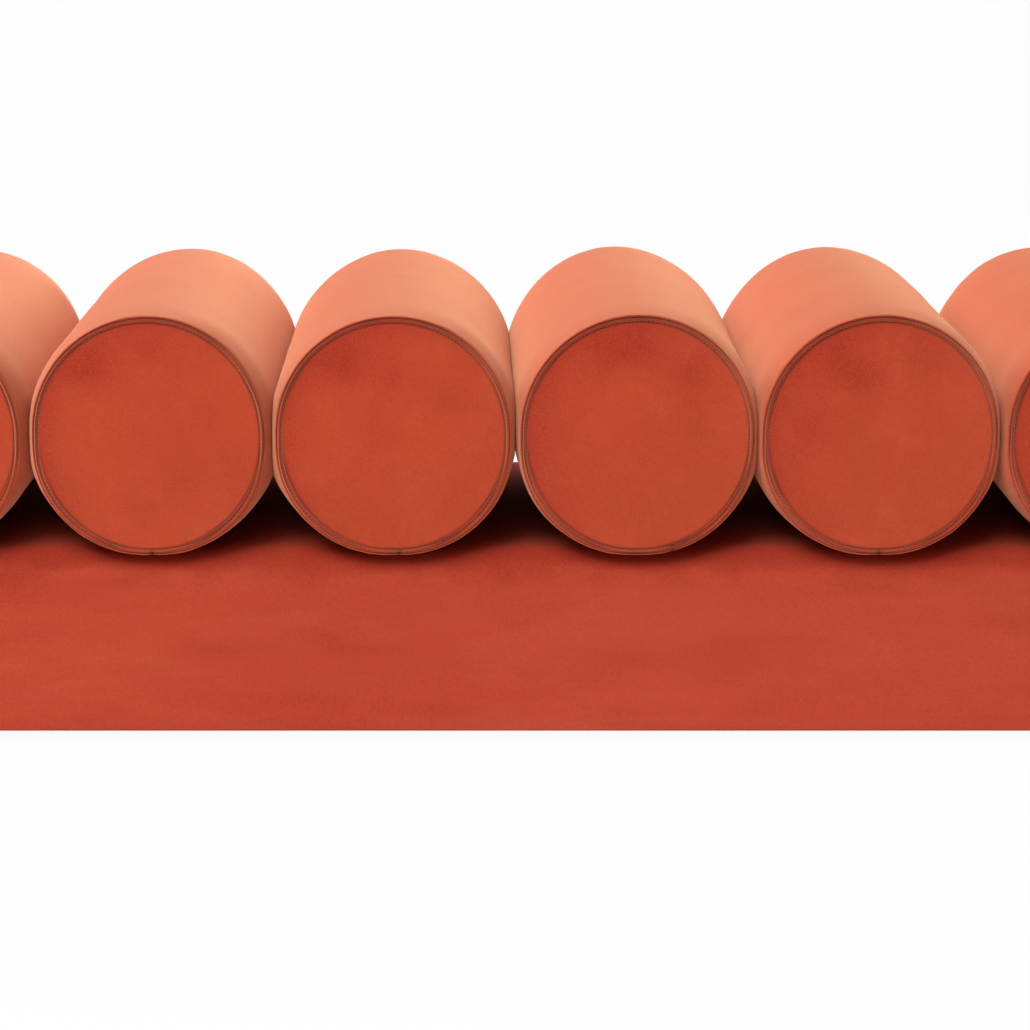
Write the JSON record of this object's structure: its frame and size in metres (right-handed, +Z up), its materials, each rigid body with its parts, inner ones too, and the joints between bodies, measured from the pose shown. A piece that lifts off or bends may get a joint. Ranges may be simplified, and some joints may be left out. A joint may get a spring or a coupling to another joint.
{
  "type": "upholstered bench",
  "caption": "Upholstered bench with a seat of round transverse bolster rolls bolted side by side on a low rectangular padded plinth with levelling feet.",
  "frame": {"origin": "on the floor, under the middle of the bench", "axes": "+X along the bench to the sitter's left as seen from the front, -Y towards the front, +Z up"},
  "size_m": [1.5234, 0.508, 0.4652],
  "materials": {
    "roll_velvet": "short-pile velvet, soft sheen",
    "plinth_velvet": "short-pile velvet, soft sheen",
    "foam": "open-cell foam",
    "wadding": "polyester fibre",
    "plywood": "bare birch plywood",
    "pine": "planed softwood",
    "dust_cloth": "non-woven cloth",
    "foot_plastic": "moulded nylon",
    "screw_steel": "yellow zinc plate",
    "staple_wire": "galvanised wire",
    "zinc_steel": "bright zinc plate"
  },
  "bodies": {
    "bench": {"back_rail": "pine", "block_screws": "screw_steel", "cross_stretchers": "pine", "deck_pad": "foam", "deck_panel": "plywood", "deck_screws": "screw_steel", "dust_cover": "dust_cloth", "foot_blocks": "pine", "foot_tee_nuts": "zinc_steel", "frame_screws": "screw_steel", "front_rail": "pine", "left_end_rail": "pine", "plinth_left_end_cover": "plinth_velvet", "plinth_right_end_cover": "plinth_velvet", "plinth_wrap_cover": "plinth_velvet", "right_end_rail": "pine", "roll_1_back_panel": "roll_velvet", "roll_1_foam_core": "foam", "roll_1_front_panel": "roll_velvet", "roll_1_tube_cover": "roll_velvet", "roll_2_back_panel": "roll_velvet", "roll_2_foam_core": "foam", "roll_2_front_panel": "roll_velvet", "roll_2_tube_cover": "roll_velvet", "roll_3_back_panel": "roll_velvet", "roll_3_foam_core": "foam", "roll_3_front_panel": "roll_velvet", "roll_3_tube_cover": "roll_velvet", "roll_4_back_panel": "roll_velvet", "roll_4_foam_core": "foam", "roll_4_front_panel": "roll_velvet", "roll_4_tube_cover": "roll_velvet", "roll_5_back_panel": "roll_velvet", "roll_5_foam_core": "foam", "roll_5_front_panel": "roll_velvet", "roll_5_tube_cover": "roll_velvet", "roll_6_back_panel": "roll_velvet", "roll_6_foam_core": "foam", "roll_6_front_panel": "roll_velvet", "roll_6_tube_cover": "roll_velvet", "roll_boards": "plywood", "roll_bolts": "zinc_steel", "roll_tee_nuts": "zinc_steel", "roll_waddings": "wadding", "roll_washers": "zinc_steel", "side_foam": "foam", "staples": "staple_wire"},
    "pad_1": {"foot_1_pad": "foot_plastic"},
    "stem_1": {"foot_1_stem": "zinc_steel"},
    "pad_2": {"foot_2_pad": "foot_plastic"},
    "stem_2": {"foot_2_stem": "zinc_steel"},
    "pad_3": {"foot_3_pad": "foot_plastic"},
    "stem_3": {"foot_3_stem": "zinc_steel"},
    "pad_4": {"foot_4_pad": "foot_plastic"},
    "stem_4": {"foot_4_stem": "zinc_steel"},
    "pad_5": {"foot_5_pad": "foot_plastic"},
    "stem_5": {"foot_5_stem": "zinc_steel"},
    "pad_6": {"foot_6_pad": "foot_plastic"},
    "stem_6": {"foot_6_stem": "zinc_steel"}
  },
  "joints": [
    {"name": "foot_1_height", "type": "slide", "parent": "bench", "child": "pad_1", "axis": [0, 0, -1], "range_m": [-0.005, 0.02]},
    {"name": "foot_1_turn", "type": "hinge", "parent": "pad_1", "child": "stem_1", "pos_m": [-0.6825, -0.1775, 0.006], "axis": [0, 0, -1], "range_deg": [-1445, 5765]},
    {"name": "foot_2_height", "type": "slide", "parent": "bench", "child": "pad_2", "axis": [0, 0, -1], "range_m": [-0.005, 0.02]},
    {"name": "foot_2_turn", "type": "hinge", "parent": "pad_2", "child": "stem_2", "pos_m": [0, -0.1775, 0.006], "axis": [0, 0, -1], "range_deg": [-1445, 5765]},
    {"name": "foot_3_height", "type": "slide", "parent": "bench", "child": "pad_3", "axis": [0, 0, -1], "range_m": [-0.005, 0.02]},
    {"name": "foot_3_turn", "type": "hinge", "parent": "pad_3", "child": "stem_3", "pos_m": [0.6825, -0.1775, 0.006], "axis": [0, 0, -1], "range_deg": [-1445, 5765]},
    {"name": "foot_4_height", "type": "slide", "parent": "bench", "child": "pad_4", "axis": [0, 0, -1], "range_m": [-0.005, 0.02]},
    {"name": "foot_4_turn", "type": "hinge", "parent": "pad_4", "child": "stem_4", "pos_m": [-0.6825, 0.1775, 0.006], "axis": [0, 0, -1], "range_deg": [-1445, 5765]},
    {"name": "foot_5_height", "type": "slide", "parent": "bench", "child": "pad_5", "axis": [0, 0, -1], "range_m": [-0.005, 0.02]},
    {"name": "foot_5_turn", "type": "hinge", "parent": "pad_5", "child": "stem_5", "pos_m": [0, 0.1775, 0.006], "axis": [0, 0, -1], "range_deg": [-1445, 5765]},
    {"name": "foot_6_height", "type": "slide", "parent": "bench", "child": "pad_6", "axis": [0, 0, -1], "range_m": [-0.005, 0.02]},
    {"name": "foot_6_turn", "type": "hinge", "parent": "pad_6", "child": "stem_6", "pos_m": [0.6825, 0.1775, 0.006], "axis": [0, 0, -1], "range_deg": [-1445, 5765]}
  ],
  "couplings": [
    {"joint": "foot_1_turn", "follows": "foot_1_height", "rad_per_m": 5026.5},
    {"joint": "foot_2_turn", "follows": "foot_2_height", "rad_per_m": 5026.5},
    {"joint": "foot_3_turn", "follows": "foot_3_height", "rad_per_m": 5026.5},
    {"joint": "foot_4_turn", "follows": "foot_4_height", "rad_per_m": 5026.5},
    {"joint": "foot_5_turn", "follows": "foot_5_height", "rad_per_m": 5026.5},
    {"joint": "foot_6_turn", "follows": "foot_6_height", "rad_per_m": 5026.5}
  ]
}
